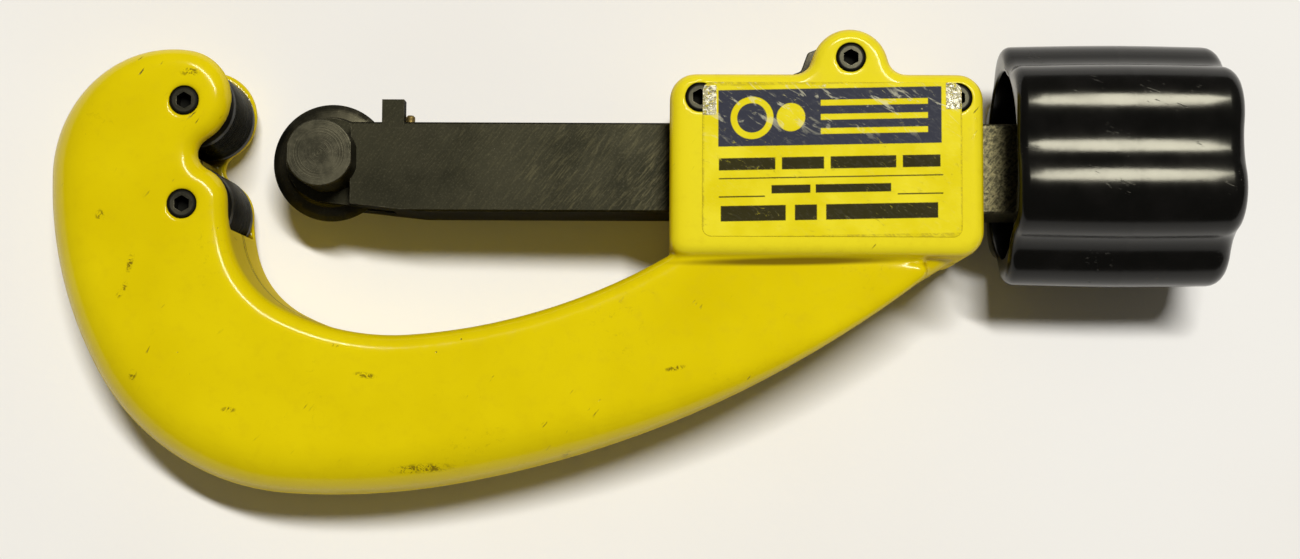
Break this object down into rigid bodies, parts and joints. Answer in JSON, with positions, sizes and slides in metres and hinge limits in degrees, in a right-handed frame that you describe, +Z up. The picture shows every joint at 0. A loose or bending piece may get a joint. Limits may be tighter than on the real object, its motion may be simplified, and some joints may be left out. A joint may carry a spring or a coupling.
{
  "type": "pipe cutter",
  "caption": "C-frame pipe cutter with two rollers, a sliding bar that carries a cutter wheel, a guide housing and a lobed feed knob.",
  "frame": {"origin": "midway between the two roller axes, in the plane the cutter wheel turns in, where the pipe nests", "axes": "+X along the feed axis from the rollers to the knob, +Y from the bow of the frame to the slide bar, +Z along the axis of the pipe; the tool lies on its side with +Z up"},
  "size_m": [0.1864, 0.0729, 0.0372],
  "materials": {
    "yellow_paint": "semi-gloss yellow paint on a casting, scuffed",
    "clear_film": "clear sticker with plain printed rules",
    "black_steel": "ground and blackened",
    "dark_steel": "blackened, turned",
    "roller_steel": "hardened, ground, oiled",
    "wheel_steel": "hardened, near-black",
    "bright_steel": "ground",
    "spring_steel": "drawn wire",
    "brass": "dull",
    "black_plastic": "gloss moulded"
  },
  "bodies": {
    "frame": {"frame_casting": "yellow_paint", "label": "clear_film", "upper_roller_pin": "dark_steel", "lower_roller_pin": "dark_steel", "lever_pivot_pin": "dark_steel", "guide_pin_left": "dark_steel", "guide_pin_right": "dark_steel", "guide_sleeve_left": "bright_steel", "guide_sleeve_right": "bright_steel", "half_nut_spring": "spring_steel"},
    "upper_roller_body": {"upper_roller": "roller_steel", "upper_roller_needles": "bright_steel"},
    "lower_roller_body": {"lower_roller": "roller_steel", "lower_roller_needles": "bright_steel"},
    "slide": {"slide_bar": "black_steel", "buffer_pin": "brass", "wheel_axle": "dark_steel", "axle_retaining_ring": "spring_steel", "spindle_thrust_washer": "bright_steel", "spindle_retaining_pin": "dark_steel"},
    "wheel": {"cutter_wheel": "wheel_steel", "wheel_needles": "bright_steel"},
    "feed_knob": {"knob": "black_plastic", "spindle": "bright_steel", "knob_screw": "dark_steel", "knob_washer": "bright_steel"},
    "half_nut": {"half_nut_lever": "dark_steel"}
  },
  "joints": [
    {"name": "bar_slide", "type": "slide", "parent": "frame", "child": "slide", "axis": [1, 0, 0], "range_m": [-0.0045, 0.04]},
    {"name": "knob_turn", "type": "hinge", "parent": "slide", "child": "feed_knob", "pos_m": [0.147, 0, 0], "axis": [1, 0, 0], "range_deg": [-811, 7201]},
    {"name": "wheel_spin", "type": "hinge", "parent": "slide", "child": "wheel", "pos_m": [0.0212, 0, 0], "axis": [0, 0, 1], "continuous": true},
    {"name": "upper_roller_spin", "type": "hinge", "parent": "frame", "child": "upper_roller_body", "pos_m": [0, 0.0081, 0], "axis": [0, 0, 1], "continuous": true},
    {"name": "lower_roller_spin", "type": "hinge", "parent": "frame", "child": "lower_roller_body", "pos_m": [0, -0.0081, 0], "axis": [0, 0, 1], "continuous": true},
    {"name": "half_nut_release", "type": "hinge", "parent": "frame", "child": "half_nut", "pos_m": [0.1037, 0.0149, 0], "axis": [0, 0, 1], "range_deg": [0, 9], "stiffness_Nm_per_rad": 0.3, "springref_deg": -6.88, "deforming": ["half_nut_spring"]}
  ],
  "couplings": [
    {"joint": "knob_turn", "follows": "bar_slide", "rad_per_m": 3141.6}
  ]
}
